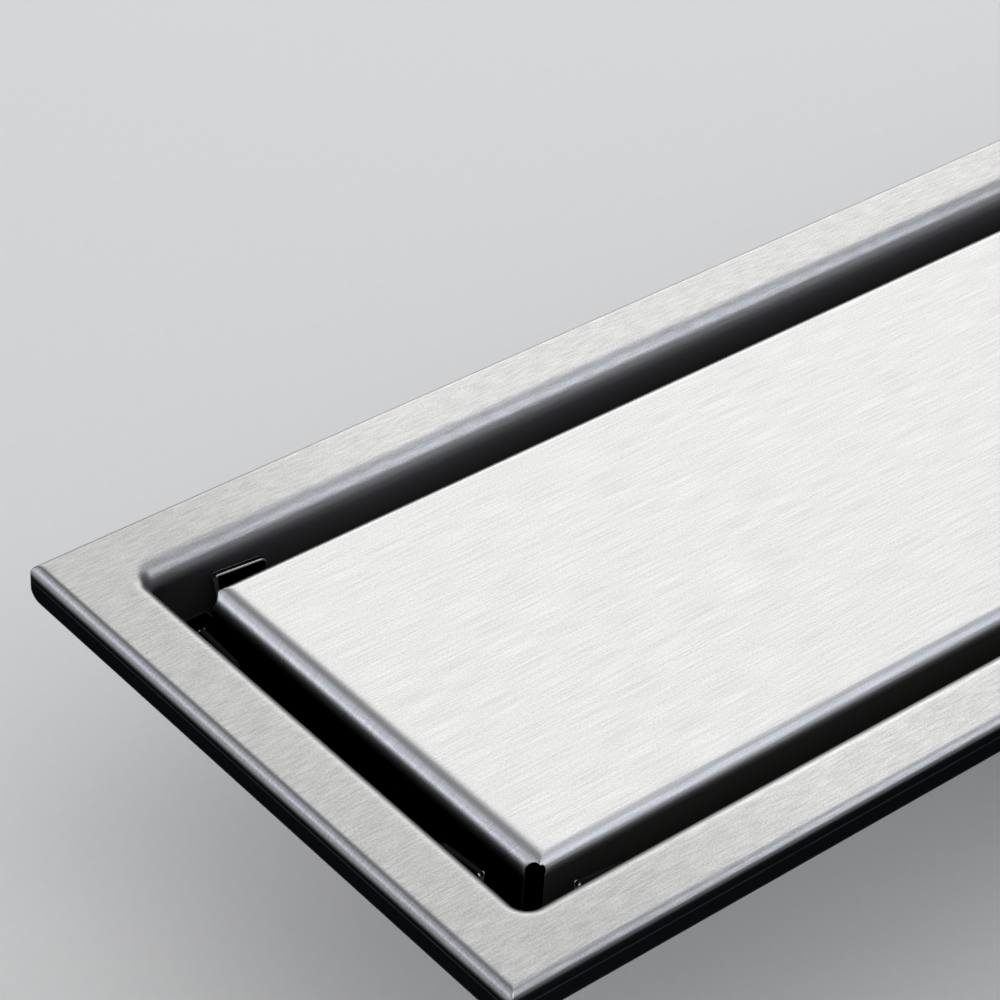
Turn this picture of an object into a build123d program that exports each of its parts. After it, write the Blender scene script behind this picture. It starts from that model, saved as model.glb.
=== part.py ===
from build123d import *
import os

# Linear shower drain: a pressed stainless channel with a folded rim, a folded lift-out cover that
# rests on four corner brackets, a welded outlet tube and a lift-out hair strainer.
# Millimetres. X runs along the drain, Z is up, and the origin is the centre of the outlet's lower end.

# Rim
RIM_LENGTH = 300.0          # over the folded outer edges
RIM_WIDTH = 80.0
FLANGE = 8.8                # outer face of the rim to the channel wall
SKIRT_DEPTH = 4.4           # fold at the outer edge, measured from the rim's top
SKIRT_SQUARE_END = 2.7      # height of a skirt's end before its lower corner rounds off
SHEET = 0.8                 # sheet of the channel
RIM_BEND = 0.7              # inside radius of the fold at the outer edge
WALL_BEND = 1.7             # inside radius where the flange turns down into the channel

# Channel
CORNER_RADIUS = 1.4         # inside corners of the channel in plan
FLOOR_BEND = 1.0            # inside radius between floor and walls
END_DEPTH = 13.0            # rim top to the floor at each end
MID_DEPTH = 17.2            # rim top to the floor at the outlet

# Cover
SIDE_GAP = 4.2              # open slot along each long side
END_GAP = 5.0               # open slot at each end
COVER_RECESS = 1.4          # rim top to cover top
COVER_HEIGHT = 7.2          # cover top to the lower edge of its folds
COVER_SHEET = 0.8
COVER_SIDE_BEND = 1.0       # inside radius of the folds along the sides
COVER_END_BEND = 1.8        # inside radius of the softer folds at the ends
CORNER_SLOT = 1.8           # width of the open slot between two folds
CORNER_SLOT_DROP = 0.8      # cover top to the round top of that slot

# Cover rests
REST_SHEET = 0.8
REST_BEND = 0.6             # inside radius between shelf and ear
REST_RELIEF = 0.8           # notch beside the foot of an ear
EAR_GAP = 1.0               # channel wall to the back of an ear
EAR_OFFSET = 7.8            # corner of the channel to the near end of an ear
EAR_LENGTH = 7.0            # along the top of an ear
EAR_TAPER = 0.8             # how much an ear narrows at each end, top to root
EAR_DROP = 2.7              # rim top to the top of an ear, at its near end
EAR_SLOPE = 0.65            # how much lower the far end of its top is
EAR_NEAR_RADIUS = 0.3       # upper corner of an ear at its near end
EAR_FAR_RADIUS = 0.9        # upper corner of an ear at its far end
SHELF_LAP = 2.6             # how far a shelf reaches under the cover past the inside of its fold

# Outlet
OUTLET_DIAMETER = 50.0      # outside
OUTLET_WALL = 1.4
OUTLET_SHOULDER = 0.5       # step under the floor, where the tube's neck goes through
OUTLET_LENGTH = 32.0        # below the lowest line of the channel's underside

# Hair strainer
STRAINER_SHEET = 0.6
STRAINER_DEPTH = 11.0       # below the top of the outlet tube
STRAINER_CLEARANCE = 0.8    # all round, inside the outlet tube
STRAINER_RIM_CLEARANCE = 0.3
STRAINER_TAPER = 4.5        # how much the basket narrows on each side, mouth to floor
HOLE_DIAMETER = 3.2
HOLE_PITCH = 5.4            # ring to ring across the floor
HOLE_MARGIN = 0.8           # least metal between a hole and the edge of the floor or the knob
HOLES_PER_RING = 5          # in the first ring, and as many more in each ring outside it

# Strainer knob
KNOB_DIAMETER = 9.0
KNOB_HEIGHT = 11.0          # above the strainer's floor
KNOB_HEAD = 4.0
KNOB_EDGE = 1.0             # chamfer round its top
KNOB_STEM_DIAMETER = 4.0
KNOB_COLLAR_DIAMETER = 6.6
KNOB_COLLAR = 1.0
RIVET_DIAMETER = 6.0
RIVET_HEIGHT = 0.8

# Derived levels and sizes
RIM_TOP = OUTLET_LENGTH + SHEET + MID_DEPTH
OPENING_LENGTH = RIM_LENGTH - 2 * FLANGE
OPENING_WIDTH = RIM_WIDTH - 2 * FLANGE
COVER_LENGTH = OPENING_LENGTH - 2 * END_GAP
COVER_WIDTH = OPENING_WIDTH - 2 * SIDE_GAP
COVER_TOP = RIM_TOP - COVER_RECESS
COVER_BOTTOM = COVER_TOP - COVER_HEIGHT
OUTLET_TOP = RIM_TOP - MID_DEPTH
OUTLET_RADIUS = OUTLET_DIAMETER / 2
OUTLET_BORE = OUTLET_RADIUS - OUTLET_WALL
OUTLET_NECK = OUTLET_RADIUS - OUTLET_SHOULDER
STRAINER_RADIUS = OUTLET_BORE - STRAINER_CLEARANCE
STRAINER_FLOOR = OUTLET_TOP - STRAINER_DEPTH + STRAINER_SHEET
QUADRANTS = {"left": -1, "right": 1}
SIDES = {"front": -1, "back": 1}
NEAR = 0.01                 # tolerance for picking edges by their place


def disc(radius, bottom, top):
    """A round block on the outlet's axis between two levels."""
    return Pos(0, 0, bottom) * Cylinder(radius, top - bottom, align=(Align.CENTER, Align.CENTER, Align.MIN))


def rounded_top(length, height, radius):
    """An upright rectangle that stands on zero, with its two upper corners rounded."""
    outline = Rectangle(length, height, align=(Align.CENTER, Align.MIN))
    return fillet(outline.vertices().group_by(Axis.Y)[-1], radius)


def pan_form(length, width, bottom, top, end_radius, side_radius):
    """A filled, upturned pan with its upper edges rounded: one radius at the ends, one along the sides."""
    end_view = extrude(Plane.XZ * rounded_top(length, top - bottom, end_radius), amount=width, both=True)
    side_view = extrude(Plane.YZ * rounded_top(width, top - bottom, side_radius), amount=length, both=True)
    return Pos(0, 0, bottom) * (end_view & side_view)


def folded_pan(length, width, bottom, top, sheet, end_bend, side_bend):
    """A flat plate whose four edges are folded straight down, one sheet thick all over."""
    outside = pan_form(length, width, bottom, top, end_bend + sheet, side_bend + sheet)
    inside = pan_form(length - 2 * sheet, width - 2 * sheet, bottom, top - sheet, end_bend, side_bend)
    return outside - inside


def skirt_corner_cut(reach):
    """The piece that rounds off one lower corner of a skirt end, standing in XZ with the corner at zero."""
    outline = Rectangle(reach, reach, align=(Align.MAX, Align.MIN)) - Pos(-reach, reach) * Circle(reach)
    return extrude(Plane.XZ * outline, amount=SHEET + NEAR, both=True)


def rim():
    """The flat flange and the skirt folded down at its outer edge, rounded at the skirt's lower corners."""
    pan = folded_pan(RIM_LENGTH, RIM_WIDTH, RIM_TOP - SKIRT_DEPTH, RIM_TOP, SHEET, RIM_BEND, RIM_BEND)
    corner = skirt_corner_cut(SKIRT_DEPTH - SKIRT_SQUARE_END)
    cut = Pos(RIM_LENGTH / 2, RIM_WIDTH / 2, RIM_TOP - SKIRT_DEPTH) * corner
    side = Pos(RIM_WIDTH / 2, -RIM_LENGTH / 2, RIM_TOP - SKIRT_DEPTH) * corner
    for piece in (cut, Rot(0, 0, 90) * side):
        for across in (piece, mirror(piece, about=Plane.YZ)):
            pan -= across
            pan -= mirror(across, about=Plane.XZ)
    return pan


def bowl(extra, top):
    """The bowl as a filled form, grown by extra on every side, with a floor that falls to the middle."""
    half = OPENING_LENGTH / 2 + extra
    end_floor = RIM_TOP - END_DEPTH - extra
    mid_floor = RIM_TOP - MID_DEPTH - extra
    side_view = make_face(Polyline((0, top), (half, top), (half, end_floor), (0, mid_floor), close=True))
    form = extrude(Plane.XZ * side_view, amount=OPENING_WIDTH / 2 + extra, both=True)
    form = fillet(form.edges().filter_by(Axis.Z).group_by(Axis.X)[-1], CORNER_RADIUS + extra)
    floor = form.faces().sort_by(Axis.Z)[0]
    form = fillet(floor.edges().filter_by(lambda edge: edge.center().X > NEAR), FLOOR_BEND + extra)
    return form + mirror(form, about=Plane.YZ)


def opening_edges(solid, level, extra):
    """The edges round the channel's mouth at one level, on the wall face grown by extra."""
    reach = OPENING_LENGTH / 2 + extra + NEAR
    breadth = OPENING_WIDTH / 2 + extra + NEAR

    def at_mouth(edge):
        middle = edge.center()
        flat = abs(edge.bounding_box().min.Z - level) < NEAR and abs(edge.bounding_box().max.Z - level) < NEAR
        return flat and abs(middle.X) < reach and abs(middle.Y) < breadth

    return solid.edges().filter_by(at_mouth)


def channel_body():
    """The pressed channel: rim, walls and sloped floor in one sheet, with the hole for the outlet tube."""
    body = rim() + bowl(SHEET, RIM_TOP - SHEET / 2)
    body = fillet(opening_edges(body, RIM_TOP - SHEET, SHEET), WALL_BEND)
    body -= bowl(0, RIM_TOP)
    body = fillet(opening_edges(body, RIM_TOP, 0), WALL_BEND + SHEET)
    return body - disc(OUTLET_NECK, 0, RIM_TOP)


def cover_plate():
    """The lift-out cover: a plate folded down on four sides, open at the corners between the folds."""
    size = (COVER_LENGTH, COVER_WIDTH, COVER_BOTTOM, COVER_TOP)
    plate = folded_pan(*size, COVER_SHEET, COVER_END_BEND, COVER_SIDE_BEND)
    slot_height = COVER_HEIGHT - CORNER_SLOT_DROP
    slot = SlotOverall(2 * slot_height, CORNER_SLOT, rotation=90)
    reach = COVER_END_BEND + COVER_SHEET
    for along in QUADRANTS.values():
        for across in SIDES.values():
            corner = Vector(along * COVER_LENGTH / 2, across * COVER_WIDTH / 2, COVER_BOTTOM)
            facing = Plane(corner, x_dir=(-across, along, 0), z_dir=(along, across, 0))
            plate -= extrude(facing * slot, amount=reach, both=True)
    return plate


def ear_with_bend(shelf_top):
    """One ear of a rest, standing a little off the wall at y = 0, with the bend at its foot."""
    root = shelf_top + REST_BEND
    top = RIM_TOP - EAR_DROP
    start = EAR_OFFSET
    end = EAR_OFFSET + EAR_LENGTH
    corners = [(start + EAR_TAPER, root), (start, top), (end, top - EAR_SLOPE), (end - EAR_TAPER, root)]
    face = make_face(Polyline(*corners, close=True))
    face = fillet(face.vertices().sort_by(Axis.Y)[-2], EAR_FAR_RADIUS)
    face = fillet(face.vertices().sort_by(Axis.Y)[-1], EAR_NEAR_RADIUS)
    ear = Pos(0, EAR_GAP, 0) * extrude(Plane.XZ * face, amount=-REST_SHEET)
    outer = REST_BEND + REST_SHEET
    quarter = Rectangle(outer, outer, align=(Align.MAX, Align.MAX))
    ring = (Circle(outer) - Circle(REST_BEND)) & quarter
    foot = Plane((start + EAR_TAPER, EAR_GAP + outer, root), x_dir=(0, 1, 0), z_dir=(1, 0, 0))
    return ear + extrude(foot * ring, amount=EAR_LENGTH - 2 * EAR_TAPER)


def cover_rest():
    """A corner bracket with its corner at zero: a shelf, and an ear turned up along each wall."""
    shelf_top = COVER_BOTTOM
    notch = EAR_OFFSET + EAR_TAPER - REST_RELIEF
    far = EAR_OFFSET + EAR_LENGTH - EAR_TAPER
    foot = EAR_GAP + REST_SHEET + REST_BEND
    inner = max(SIDE_GAP, END_GAP) + COVER_SHEET + SHELF_LAP
    edge = [(CORNER_RADIUS, 0), (notch, 0), (notch, foot), (far, foot), (far, inner)]
    plan = make_face(Polyline(*edge, *[(y, x) for x, y in reversed(edge)], close=True))
    shelf = Pos(0, 0, shelf_top - REST_SHEET) * extrude(plan, amount=REST_SHEET)
    ear = ear_with_bend(shelf_top)
    return shelf + ear + mirror(ear, about=Plane((0, 0, 0), z_dir=(1, -1, 0)))


def outlet_tube():
    """The plain tube, with a neck that goes through the floor and is welded flush with its lowest line."""
    tube = disc(OUTLET_RADIUS, 0, OUTLET_LENGTH) + disc(OUTLET_NECK, OUTLET_LENGTH, OUTLET_TOP)
    return tube - disc(OUTLET_BORE, 0, OUTLET_TOP)


def strainer_holes(floor_radius):
    """Round holes in rings across the floor of the strainer, clear of its edge and of the knob."""
    hole = HOLE_DIAMETER / 2
    drill = disc(hole, STRAINER_FLOOR - 2 * STRAINER_SHEET, STRAINER_FLOOR + STRAINER_SHEET)
    holes = Part()
    ring = 1
    while ring * HOLE_PITCH + hole + HOLE_MARGIN < floor_radius:
        if ring * HOLE_PITCH - hole - HOLE_MARGIN > KNOB_COLLAR_DIAMETER / 2:
            holes += PolarLocations(ring * HOLE_PITCH, HOLES_PER_RING * ring) * drill
        ring += 1
    return holes


def hair_strainer():
    """The tapered basket with a perforated floor that hangs by its rim in the top of the outlet tube."""
    floor_radius = STRAINER_RADIUS - STRAINER_TAPER
    rim_radius = OUTLET_NECK - STRAINER_RIM_CLEARANCE
    stem = KNOB_STEM_DIAMETER / 2
    section = make_face(
        Polyline(
            (stem, STRAINER_FLOOR - STRAINER_SHEET),
            (floor_radius, STRAINER_FLOOR - STRAINER_SHEET),
            (STRAINER_RADIUS, OUTLET_TOP),
            (rim_radius, OUTLET_TOP),
            (rim_radius, OUTLET_TOP + STRAINER_SHEET),
            (STRAINER_RADIUS - STRAINER_SHEET, OUTLET_TOP + STRAINER_SHEET),
            (floor_radius - STRAINER_SHEET, STRAINER_FLOOR),
            (stem, STRAINER_FLOOR),
            close=True,
        )
    )
    basket = revolve(Plane.XZ * section, Axis.Z)
    return basket - strainer_holes(floor_radius - STRAINER_SHEET)


def strainer_knob():
    """The turned knob that lifts the strainer, riveted through the middle of its floor."""
    under = STRAINER_FLOOR - STRAINER_SHEET
    head_top = STRAINER_FLOOR + KNOB_HEIGHT
    head = disc(KNOB_DIAMETER / 2, head_top - KNOB_HEAD, head_top)
    knob = chamfer(head.edges().filter_by(GeomType.CIRCLE).sort_by(Axis.Z)[-1], KNOB_EDGE)
    knob += disc(KNOB_STEM_DIAMETER / 2, under, head_top - KNOB_HEAD)
    knob += disc(KNOB_COLLAR_DIAMETER / 2, STRAINER_FLOOR, STRAINER_FLOOR + KNOB_COLLAR)
    return knob + disc(RIVET_DIAMETER / 2, under - RIVET_HEIGHT, under)


def build_nodes():
    """Every piece of the drain in its place, by name."""
    nodes = {
        "channel_body": channel_body(),
        "cover_plate": cover_plate(),
        "outlet_tube": outlet_tube(),
        "hair_strainer": hair_strainer(),
        "strainer_knob": strainer_knob(),
    }
    rest = Pos(-OPENING_LENGTH / 2, -OPENING_WIDTH / 2, 0) * cover_rest()
    for side, across in SIDES.items():
        near = rest if across < 0 else mirror(rest, about=Plane.XZ)
        for end, along in QUADRANTS.items():
            nodes[f"cover_rest_{side}_{end}"] = near if along < 0 else mirror(near, about=Plane.YZ)
    return nodes


os.makedirs("parts", exist_ok=True)
for name, solid in build_nodes().items():
    export_step(solid, os.path.join("parts", name + ".step"))
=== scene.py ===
import logging
import math
from dataclasses import dataclass, field
from enum import Enum
from typing import Callable, Sequence, Union

import bmesh
import bpy
from mathutils import Matrix, Vector


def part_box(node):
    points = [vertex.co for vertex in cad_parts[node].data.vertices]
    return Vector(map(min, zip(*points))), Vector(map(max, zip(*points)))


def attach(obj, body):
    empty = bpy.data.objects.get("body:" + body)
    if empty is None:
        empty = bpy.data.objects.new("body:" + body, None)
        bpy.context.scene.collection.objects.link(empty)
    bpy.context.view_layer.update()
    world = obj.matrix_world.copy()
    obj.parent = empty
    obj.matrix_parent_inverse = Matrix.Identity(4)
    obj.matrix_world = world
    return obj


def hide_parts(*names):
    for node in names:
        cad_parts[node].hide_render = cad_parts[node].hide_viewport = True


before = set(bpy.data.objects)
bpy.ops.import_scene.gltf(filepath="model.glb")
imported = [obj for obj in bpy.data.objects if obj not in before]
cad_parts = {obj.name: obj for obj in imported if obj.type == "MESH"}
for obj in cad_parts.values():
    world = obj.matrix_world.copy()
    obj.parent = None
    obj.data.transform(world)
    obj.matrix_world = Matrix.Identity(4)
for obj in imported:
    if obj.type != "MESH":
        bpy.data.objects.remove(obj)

LOG = logging.getLogger("linear_shower_drain")
MM = 0.001
BODY = "root"
SHEET_MAP = "sheet"
PAINTED = ("mill", "shade", "skirt", "edge")
CREASE = math.radians(38)
ROUNDING_STEPS = 2

GRIT_SHARE = 0.52
TONE_GAIN, TONE_SHIFT = 2.4, -0.7
CLOUD_DETAIL, CLOUD_ROUGHNESS = 4.0, 0.65
CLOUD_LOW, CLOUD_HIGH = 0.3, 0.7
PIT_LEAST, PIT_RIM = 0.25, 0.5

FLOAT, WHOLE, VECTOR = "NodeSocketFloat", "NodeSocketInt", "NodeSocketVector"
GEOMETRY, MATERIAL = "NodeSocketGeometry", "NodeSocketMaterial"

Colour = tuple[float, float, float]
Plan = tuple[float, float]
Point = tuple[float, float, float]
Painted = Union[float, Sequence[float]]
Piece = bpy.types.Object
Tree = bpy.types.NodeTree
Socket = bpy.types.NodeSocket
Outputs = bpy.types.bpy_prop_collection
Value = Union[float, Sequence[float], Socket]
Inputs = dict[Union[str, int], Value]


class Slot(Enum):
    """The material slots of the drain's record."""

    CHANNEL = "channel_steel"
    COVER = "cover_steel"
    REST = "rest_steel"
    OUTLET = "outlet_steel"
    STRAINER = "strainer_steel"
    KNOB = "knob_steel"


class Level(Enum):
    """What the height of a row of corners is measured from."""

    FLAT = "the drain's own zero"
    SKIRT = "the skirt's lower edge, which rises at the corners"
    FLOOR = "the floor of the channel at the outlet, which rises to the ends"
    UNDERSIDE = "the underside of that floor"


class Grain(Enum):
    """How the brushed lines of a finish run."""

    SHEET = "along the flat sheet, before it was folded"
    TURNED = "round the upright axis"


def extent(node: str) -> tuple[Vector, Vector]:
    """Gives a node's lowest and highest corners.

    Args:
        node: The name of the piece in the frame.

    Returns:
        The two corners in millimetres.
    """
    low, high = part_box(node)
    return low / MM, high / MM


class NodeDesk:
    """Lays out and joins the nodes of one tree."""

    def __init__(self, tree: Tree) -> None:
        """Keeps the tree to work on."""
        self.tree = tree

    def add(self, kind: str, inputs: Inputs | None = None, **settings: object) -> bpy.types.Node:
        """Adds a node, sets it up and feeds its inputs.

        Args:
            kind: The node's type name.
            inputs: What each input gets, by name or number: a plain value or another node's output.
            settings: The node's own properties.

        Returns:
            The new node.
        """
        node = self.tree.nodes.new(kind)
        for key, value in settings.items():
            setattr(node, key, value)
        for key, value in (inputs or {}).items():
            self.feed(node.inputs[key], value)
        return node

    def give(self, kind: str, inputs: Inputs | None = None, **settings: object) -> Socket:
        """Adds a node as add does, and gives its first output."""
        return self.add(kind, inputs, **settings).outputs[0]

    def feed(self, socket: Socket, value: Value) -> None:
        """Joins an output to a socket, or sets the socket's own value.

        Args:
            socket: The input.
            value: Another node's output, or a plain value.
        """
        if isinstance(value, Socket):
            self.tree.links.new(value, socket)
        else:
            socket.default_value = value

    def sum(self, operation: str, *terms: Value) -> Socket:
        """Works out a number from others with one Math node."""
        return self.give("ShaderNodeMath", dict(enumerate(terms)), operation=operation)

    def times(self, first: Value, second: Value) -> Socket:
        """Multiplies two vectors, number by number."""
        return self.give("ShaderNodeVectorMath", {0: first, 1: second}, operation="MULTIPLY")

    def scaled(self, vector: Value, factor: Value) -> Socket:
        """Makes a vector or a colour so many times as large."""
        return self.give("ShaderNodeVectorMath", {0: vector, "Scale": factor}, operation="SCALE")

    def joined(self, x: Value = 0.0, y: Value = 0.0, z: Value = 0.0) -> Socket:
        """Joins three numbers into a vector."""
        return self.give("ShaderNodeCombineXYZ", {0: x, 1: y, 2: z})

    def split(self, vector: Value) -> Outputs:
        """Splits a vector into its three numbers."""
        return self.add("ShaderNodeSeparateXYZ", {0: vector}).outputs

    def place(self) -> Outputs:
        """Gives the three numbers of a corner's own place, in a geometry tree."""
        return self.split(self.give("GeometryNodeInputPosition"))

    def moved(self, shape: Value, **change: Value) -> Socket:
        """Moves or turns a shape in a geometry tree, by Translation or Rotation."""
        return self.give("GeometryNodeTransform", {0: shape, **change})

    def span(self, value: Value, low: float, high: float, first: float = 0.0, last: float = 1.0) -> Socket:
        """Maps a value from one range to another with a soft start and end.

        Args:
            value: What is mapped.
            low: The value that gives first.
            high: The value that gives last.
            first: The result at low and below.
            last: The result at high and above.

        Returns:
            The mapped value.
        """
        inputs = {0: value, 1: low, 2: high, 3: first, 4: last}
        return self.give("ShaderNodeMapRange", inputs, interpolation_type="SMOOTHSTEP")

    def linear(self, share: Value, first: float, last: float) -> Socket:
        """Goes evenly from one number to another as a share goes from 0 to 1."""
        return self.give("ShaderNodeMapRange", {0: share, 3: first, 4: last})

    def between(self, share: Value, first: Value, second: Value) -> Socket:
        """Mixes two numbers, where a share of 1 gives the second."""
        return self.give("ShaderNodeMix", {0: share, 2: first, 3: second})

    def blend(self, share: Value, first: Value, second: Value) -> Socket:
        """Mixes two colours.

        Args:
            share: How much of the second there is, from 0 to 1.
            first: The first colour.
            second: The second colour.

        Returns:
            The mixed colour.
        """
        node = self.add("ShaderNodeMix", data_type="RGBA")
        for number, value in ((0, share), (6, first), (7, second)):
            self.feed(node.inputs[number], (*value, 1.0) if isinstance(value, tuple) else value)
        return node.outputs[2]

    def noise(self, vector: Value, detail: float = 0.0, roughness: float = 0.5) -> Socket:
        """Gives a noise value that reads a vector already at its own scale."""
        inputs = {"Vector": vector, "Scale": 1.0, "Detail": detail, "Roughness": roughness}
        return self.give("ShaderNodeTexNoise", inputs)

    def painted(self, name: str) -> Socket:
        """Reads a value that is painted on the piece."""
        return self.add("ShaderNodeAttribute", attribute_name=name).outputs["Fac"]

    def group(self, name: str, inputs: Inputs) -> Outputs:
        """Places a shared effect and gives its outputs."""
        return self.add("ShaderNodeGroup", inputs, node_tree=bpy.data.node_groups[name]).outputs


Started = tuple[NodeDesk, dict[str, Socket], bpy.types.Node]


def node_group(name: str, kind: str, inputs: dict[str, str], outputs: dict[str, str]) -> Started:
    """Starts a node group with named sockets.

    Args:
        name: The group's name.
        kind: The tree's type name.
        inputs: Socket types by name.
        outputs: Socket types by name.

    Returns:
        The desk, the sockets that the inputs give inside the group, and the group's output node.
    """
    tree = bpy.data.node_groups.new(name, kind)
    for side, sockets in (("INPUT", inputs), ("OUTPUT", outputs)):
        for label, socket in sockets.items():
            tree.interface.new_socket(label, in_out=side, socket_type=socket)
    desk = NodeDesk(tree)
    entry = desk.add("NodeGroupInput")
    given = {label: entry.outputs[label] for label in inputs}
    return desk, given, desk.add("NodeGroupOutput")


def brushed_grain_group() -> Tree:
    """Makes the shared effect of brushed lines: fine streaks broken up by grit, and a cloudy unevenness.

    Returns:
        The group.
    """
    desk, given, out = node_group(
        "brushed_grain",
        "ShaderNodeTree",
        {"Vector": VECTOR, "Frequency": VECTOR, "Grit Frequency": FLOAT, "Cloud Frequency": FLOAT},
        {"Tone": FLOAT, "Cloud": FLOAT, "Height": FLOAT},
    )
    fine = desk.noise(desk.times(given["Vector"], given["Frequency"]))
    speckle = desk.noise(desk.scaled(given["Vector"], given["Grit Frequency"]))
    clouds = desk.scaled(given["Vector"], given["Cloud Frequency"])
    cloud = desk.noise(clouds, CLOUD_DETAIL, CLOUD_ROUGHNESS)
    tone = desk.sum("MULTIPLY_ADD", desk.between(GRIT_SHARE, fine, speckle), TONE_GAIN, TONE_SHIFT)
    desk.feed(out.inputs["Tone"], desk.linear(tone, 0.0, 1.0))
    desk.feed(out.inputs["Cloud"], desk.span(cloud, CLOUD_LOW, CLOUD_HIGH))
    desk.feed(out.inputs["Height"], fine)
    return desk.tree


def pits_group() -> Tree:
    """Makes the shared effect of scattered small pits, as a mask.

    Returns:
        The group.
    """
    desk, given, out = node_group(
        "pits",
        "ShaderNodeTree",
        {"Vector": VECTOR, "Cells per Metre": FLOAT, "Size": FLOAT, "Share": FLOAT},
        {"Mask": FLOAT},
    )
    inputs = {"Vector": given["Vector"], "Scale": given["Cells per Metre"]}
    cells = desk.add("ShaderNodeTexVoronoi", inputs).outputs
    chance = desk.add("ShaderNodeSeparateColor", {0: cells["Color"]}).outputs
    size = desk.sum("MULTIPLY", given["Size"], desk.sum("ADD", chance[1], PIT_LEAST))
    inside = desk.sum("SUBTRACT", 1.0, desk.sum("DIVIDE", cells["Distance"], size))
    chosen = desk.sum("LESS_THAN", chance[0], given["Share"])
    desk.feed(out.inputs["Mask"], desk.sum("MULTIPLY", desk.span(inside, 0.0, PIT_RIM), chosen))
    return desk.tree


@dataclass(frozen=True)
class SteelFinish:
    """A stainless finish: the brushed face, what the same sheet looks like elsewhere on the piece, and its
    painted shade and highlight.
    """

    slot: Slot
    bright: Colour
    roughness: float
    uneven: float = 0.03
    line_depth: float = 0.14
    grain: Grain = Grain.SHEET
    lines_across: float = 4000.0
    lines_along: float = 150.0
    grit_per_metre: float = 4600.0
    cloud_per_metre: float = 160.0
    cloud_depth: float = 0.05
    groove: float = 7.0e-6
    # Painted shade: the brushed colour is darkened towards both ends of the drain, where less light falls on
    # the flats.
    end_shade_from: float = 0.100
    end_shade_to: float = 0.140
    end_shade_level: float = 1.0
    # Painted on a piece: mill is its unbrushed back; inside is painted shade on the folds and walls in the
    # slots;
    # skirt is near-black painted shade and dark reflection; edge is bare metal of cut edges, partly painted
    # highlight.
    mill: Colour = (0.32, 0.32, 0.33)
    mill_roughness: float = 0.34
    # Painted shade: the colour and roughness of the folds and walls down in the slots.
    inside: Colour = (0.26, 0.26, 0.27)
    inside_roughness: float = 0.55
    # Near-black painted dark reflection and shade: the rim's skirt, the cover's end folds and the deep walls.
    skirt: Colour = (0.010, 0.0105, 0.012)
    # The bright edge colour: partly bare metal at cut edges, partly painted highlight.
    edge: Colour = (0.72, 0.72, 0.73)
    edge_roughness: float = 0.5
    edge_paint_least: float = 0.6
    glance: tuple[float, float, float, float] = (0.45, 0.45, 0.45, 1.0)
    pit: Colour = (0.22, 0.21, 0.20)
    pits_per_metre: float = 150.0
    pit_size: float = 0.05
    pit_share: float = 0.05

    def material(self) -> bpy.types.Material:
        """Builds the finish.

        Returns:
            The new material.
        """
        made = bpy.data.materials.new(self.slot.value)
        made.use_nodes = True
        made.node_tree.nodes.clear()
        desk = NodeDesk(made.node_tree)
        place = desk.add("ShaderNodeTexCoord").outputs["Object"]
        vector, frequency = place, (self.lines_along, self.lines_along, self.lines_across)
        if self.grain is Grain.SHEET:
            vector = desk.give("ShaderNodeUVMap", uv_map=SHEET_MAP)
            frequency = (self.lines_along, self.lines_across, self.lines_across)
        grain = desk.group(
            "brushed_grain",
            {
                "Vector": vector,
                "Frequency": frequency,
                "Grit Frequency": self.grit_per_metre,
                "Cloud Frequency": self.cloud_per_metre,
            },
        )
        pits = desk.group(
            "pits",
            {
                "Vector": vector,
                "Cells per Metre": self.pits_per_metre,
                "Size": self.pit_size,
                "Share": self.pit_share,
            },
        )
        mill, shade, skirt, edge = (desk.painted(name) for name in PAINTED)
        tone, cloud = grain["Tone"], grain["Cloud"]

        level = desk.linear(tone, 1.0 - self.line_depth, 1.0)
        level = desk.sum("MULTIPLY", level, desk.linear(cloud, 1.0, 1.0 - self.cloud_depth))
        # Painted shade, darker towards both ends of the drain.
        if self.end_shade_level < 1.0:
            along = desk.sum("ABSOLUTE", desk.split(place)[0])
            painted_end_shade = desk.span(along, self.end_shade_from, self.end_shade_to, 1.0, self.end_shade_level)
            level = desk.sum("MULTIPLY", level, painted_end_shade)
        colour = desk.scaled(self.bright, level)
        # Mill is the real unbrushed back; shade and skirt paint shade and dark reflection into the colour.
        for paint, tint in ((mill, self.mill), (shade, self.inside), (skirt, self.skirt)):
            colour = desk.blend(paint, colour, tint)
        # Edge paint: partly wear, partly painted highlight, broken up by the cloud.
        wear_and_glint = desk.sum("MULTIPLY", edge, desk.linear(cloud, self.edge_paint_least, 1.0))
        colour = desk.blend(wear_and_glint, colour, self.edge)
        covered = desk.sum("MAXIMUM", desk.sum("MAXIMUM", mill, skirt), shade)
        pitted = desk.sum("MULTIPLY", pits["Mask"], desk.sum("SUBTRACT", 1.0, covered))
        colour = desk.blend(pitted, colour, self.pit)

        rough = desk.linear(tone, self.roughness + self.uneven, self.roughness - self.uneven)
        for paint, matt in (
            (mill, self.mill_roughness),
            (shade, self.inside_roughness),
            (edge, self.edge_roughness),
        ):
            rough = desk.between(paint, rough, matt)
        relief = {"Height": grain["Height"], "Distance": self.groove, "Strength": 1.0}
        shader = desk.give(
            "ShaderNodeBsdfPrincipled",
            {
                "Base Color": colour,
                "Metallic": 1.0,
                "Roughness": rough,
                "Specular Tint": self.glance,
                "Normal": desk.give("ShaderNodeBump", relief),
            },
        )
        desk.add("ShaderNodeOutputMaterial", {"Surface": shader})
        return made


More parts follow.
